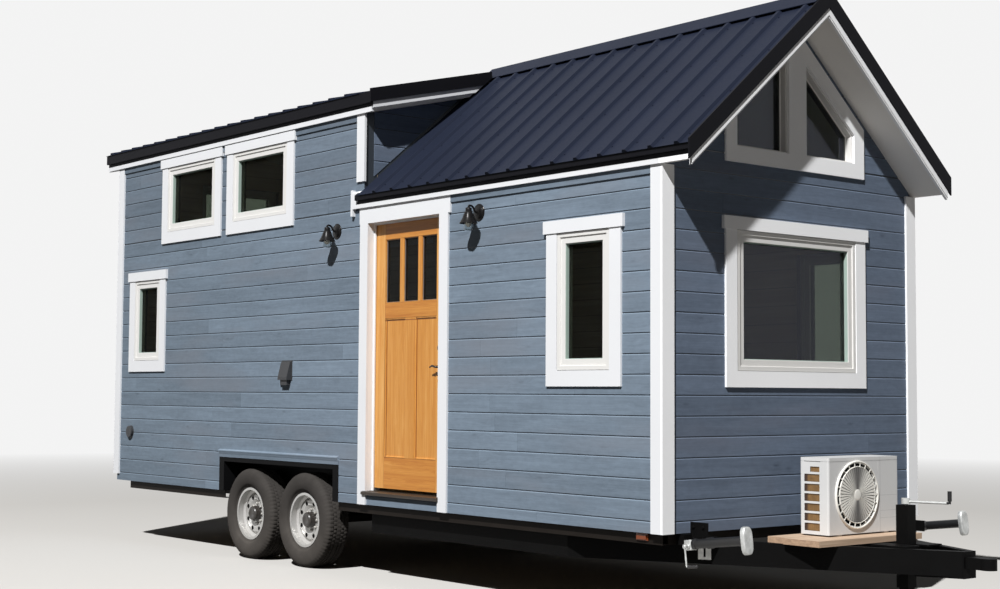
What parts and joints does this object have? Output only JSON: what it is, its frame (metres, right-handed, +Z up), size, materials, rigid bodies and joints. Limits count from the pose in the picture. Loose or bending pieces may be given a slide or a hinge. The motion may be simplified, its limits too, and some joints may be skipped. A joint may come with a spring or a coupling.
{
  "type": "tiny house on wheels",
  "caption": "Small timber house on a twin-axle trailer with a steep gable roof over the front and a full-width shed dormer over the rear.",
  "frame": {"origin": "on the ground under the middle of the tongue jack's foot, on the centre line of the trailer", "axes": "+X forwards along the tongue, +Y to the far side from the door, +Z up"},
  "size_m": [9.16, 2.799, 4.1192],
  "materials": {
    "chassis_black": "satin black frame paint",
    "tyre": "black trailer tyre",
    "rim_silver": "silver painted steel wheel",
    "floor_wood": "plain sealed boards",
    "siding_blue": "painted tongue-and-groove boards",
    "white_trim": "white painted boards",
    "roof_metal": "dark charcoal ribbed sheet, low gloss",
    "vinyl_white": "smooth white window plastic",
    "window_glass": "clear double glazing over a dark room",
    "threshold_bronze": "dark bronze sill",
    "door_wood": "warm orange stained softwood under varnish",
    "handle_bronze": "dark bronze hardware",
    "fitting_black": "black enamel",
    "fitting_grey": "grey plastic hood and inlet",
    "unit_white": "white powder coat",
    "plank_wood": "rough sawn softwood",
    "zinc": "zinc plated rod",
    "lens_amber": "amber and red lenses"
  },
  "bodies": {
    "house": {"side_rails": "chassis_black", "main_beams": "chassis_black", "cross_members": "chassis_black", "tongue_rails": "chassis_black", "coupler": "chassis_black", "axles": "chassis_black", "suspension": "chassis_black", "floor": "floor_wood", "wheel_wells": "chassis_black", "door_wall_rear": "siding_blue", "door_wall_front": "siding_blue", "door_wall_header": "siding_blue", "far_wall_rear": "siding_blue", "far_wall_front": "siding_blue", "front_wall": "siding_blue", "rear_wall": "siding_blue", "dormer_cheeks": "siding_blue", "gable_deck": "white_trim", "dormer_deck": "white_trim", "gable_roof_left": "roof_metal", "gable_roof_right": "roof_metal", "dormer_roof_left": "roof_metal", "dormer_roof_right": "roof_metal", "ridge_cap": "roof_metal", "roof_flashings": "roof_metal", "corner_boards": "white_trim", "roof_trim": "white_trim", "friezes": "siding_blue", "well_trims": "chassis_black", "window_casings": "white_trim", "door_casing": "white_trim", "window_frames": "vinyl_white", "window_glass": "window_glass", "door_frame": "white_trim", "threshold": "threshold_bronze", "wall_lights": "fitting_black", "wall_fittings": "fitting_grey", "outdoor_unit": "unit_white", "unit_grille": "unit_white", "unit_planks": "plank_wood", "tongue_jack": "chassis_black", "corner_jack_brackets": "chassis_black", "trailer_fittings": "lens_amber"},
    "entry_door": {"door_leaf": "door_wood", "door_glass": "window_glass", "door_hardware": "handle_bronze"},
    "wheel_front_left": {"tyre_front_left": "tyre", "rim_front_left": "rim_silver"},
    "wheel_front_right": {"tyre_front_right": "tyre", "rim_front_right": "rim_silver"},
    "wheel_rear_left": {"tyre_rear_left": "tyre", "rim_rear_left": "rim_silver"},
    "wheel_rear_right": {"tyre_rear_right": "tyre", "rim_rear_right": "rim_silver"},
    "jack_crank": {"jack_crank": "zinc"},
    "corner_jack_left": {"corner_jack_left": "zinc"},
    "corner_jack_right": {"corner_jack_right": "zinc"}
  },
  "joints": [
    {"name": "entry_door_hinge", "type": "hinge", "parent": "house", "child": "entry_door", "pos_m": [-4.018, -1.161, 1.66], "axis": [0, 0, 1], "range_deg": [0, 90]},
    {"name": "wheel_front_left_spin", "type": "hinge", "parent": "house", "child": "wheel_front_left", "pos_m": [-4.9505, -1.1625, 0.382], "axis": [0, 1, 0], "continuous": true},
    {"name": "wheel_front_right_spin", "type": "hinge", "parent": "house", "child": "wheel_front_right", "pos_m": [-4.9505, 1.1625, 0.382], "axis": [0, 1, 0], "continuous": true},
    {"name": "wheel_rear_left_spin", "type": "hinge", "parent": "house", "child": "wheel_rear_left", "pos_m": [-5.8015, -1.1625, 0.382], "axis": [0, 1, 0], "continuous": true},
    {"name": "wheel_rear_right_spin", "type": "hinge", "parent": "house", "child": "wheel_rear_right", "pos_m": [-5.8015, 1.1625, 0.382], "axis": [0, 1, 0], "continuous": true},
    {"name": "jack_crank_turn", "type": "hinge", "parent": "house", "child": "jack_crank", "pos_m": [0, 0, 0.75], "axis": [0, 0, 1], "continuous": true},
    {"name": "corner_jack_left_swing", "type": "hinge", "parent": "house", "child": "corner_jack_left", "pos_m": [-0.645, -1.1, 0.515], "axis": [0, 1, 0], "range_deg": [0, 97]},
    {"name": "corner_jack_right_swing", "type": "hinge", "parent": "house", "child": "corner_jack_right", "pos_m": [-0.645, 1.1, 0.515], "axis": [0, 1, 0], "range_deg": [0, 97]}
  ]
}
